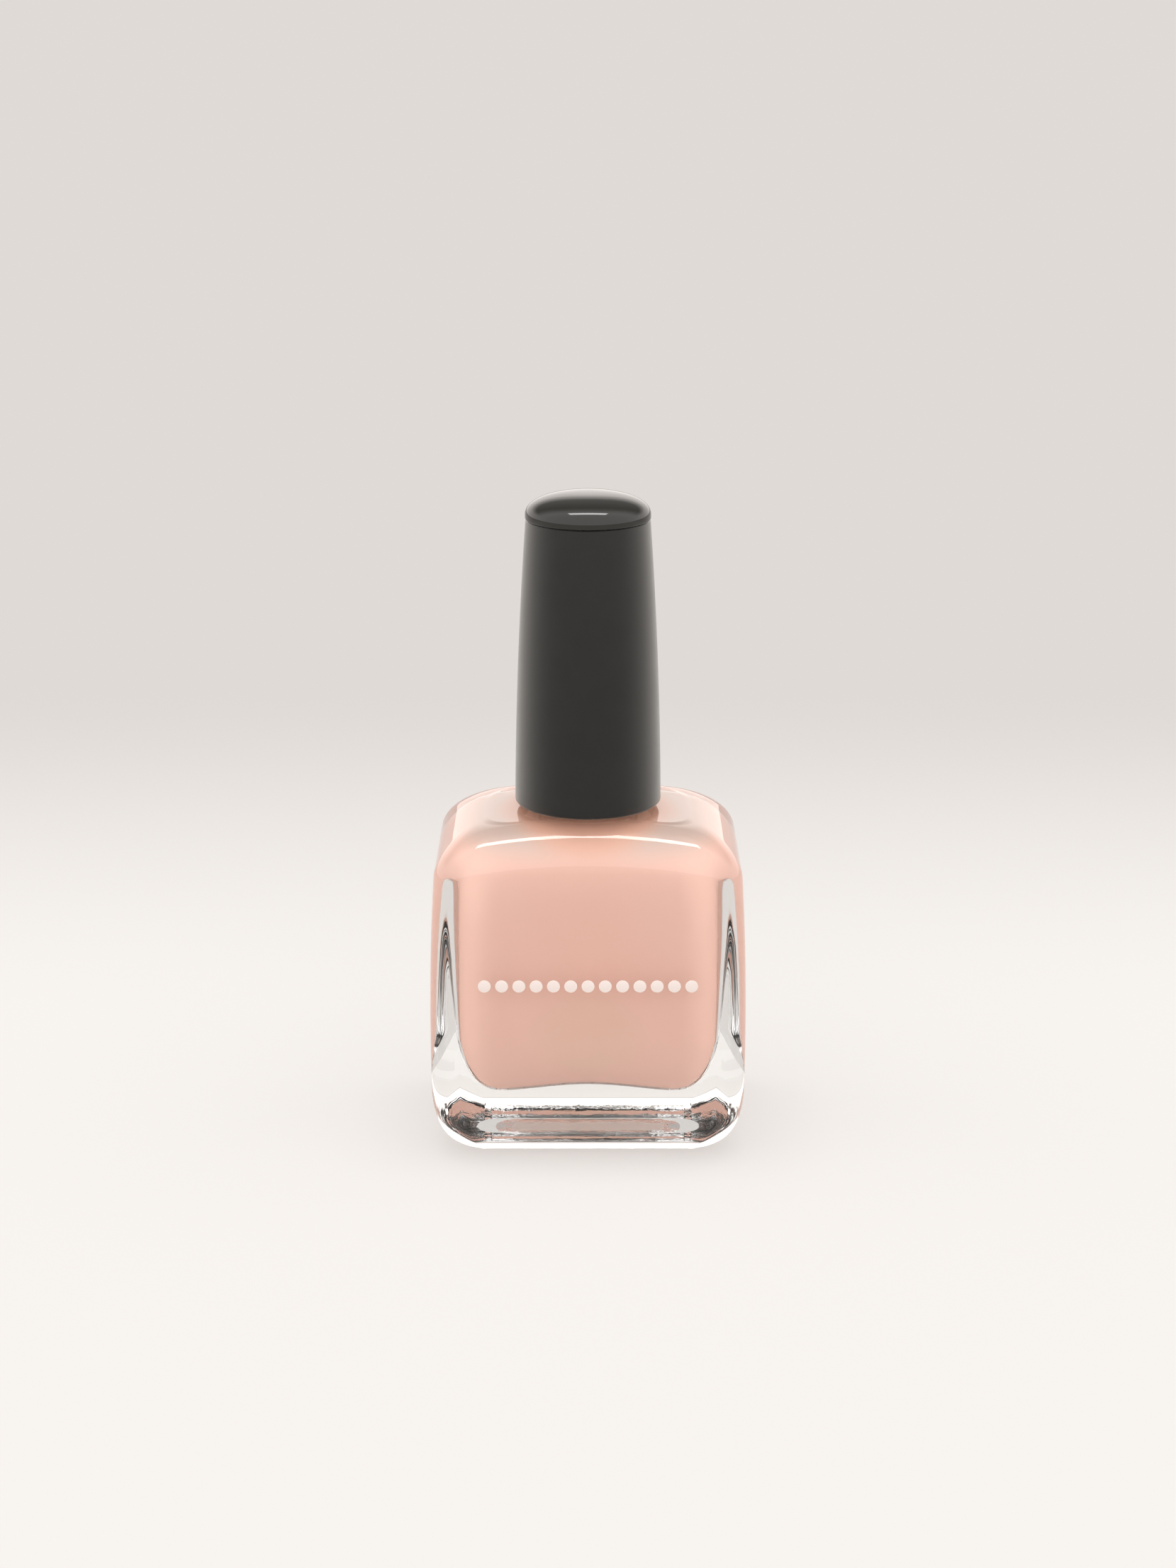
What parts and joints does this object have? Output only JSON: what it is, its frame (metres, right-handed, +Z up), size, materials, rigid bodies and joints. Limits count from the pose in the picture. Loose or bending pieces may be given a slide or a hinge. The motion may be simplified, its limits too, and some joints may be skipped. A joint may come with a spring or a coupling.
{
  "type": "nail polish bottle",
  "caption": "Rectangular thick-glass nail polish bottle with arched shoulders, tapered round screw cap with domed top, and a brush on a stem inside.",
  "frame": {"origin": "middle of the base, on the plane that the bottle stands on", "axes": "+Z up along the screw axis of the neck, cap and brush; the broad front face looks along -Y; +X to the right"},
  "size_m": [0.0356, 0.0252, 0.0745],
  "materials": {
    "glass": "clear polished flint glass",
    "lacquer": "creamy pale peach pink liquid",
    "ball_steel": "polished steel ball",
    "label": "matt film sticker",
    "satin_black": "satin soft black",
    "gloss_black": "polished black",
    "closure_plastic": "natural moulded plastic",
    "seal_foam": "fine closed-cell foam",
    "stem_plastic": "smooth moulded plastic",
    "bristles": "fine dark nylon filaments",
    "staple_steel": "flat wire"
  },
  "bodies": {
    "bottle": {"glass_bottle": "glass", "nail_lacquer": "lacquer", "base_label": "label"},
    "seal": {"seal_washer": "seal_foam"},
    "cap": {"overcap_sleeve": "satin_black", "overcap_dome": "gloss_black", "screw_closure": "closure_plastic", "brush_stem": "stem_plastic", "bristle_tuft": "bristles", "brush_staple": "staple_steel"},
    "ball_1": {"mixing_ball_1": "ball_steel"},
    "ball_2": {"mixing_ball_2": "ball_steel"}
  },
  "joints": [
    {"name": "cap_lift", "type": "slide", "parent": "bottle", "child": "seal", "axis": [0, 0, 1], "range_m": [0, 0.05]},
    {"name": "cap_turn", "type": "hinge", "parent": "seal", "child": "cap", "pos_m": [0, 0, 0.0507], "axis": [0, 0, 1], "range_deg": [0, 540]},
    {"name": "ball_1_rattle", "type": "slide", "parent": "bottle", "child": "ball_1", "axis": [0, 0, 1], "range_m": [0, 0.01]},
    {"name": "ball_2_rattle", "type": "slide", "parent": "bottle", "child": "ball_2", "axis": [0, 0, 1], "range_m": [0, 0.01]}
  ]
}
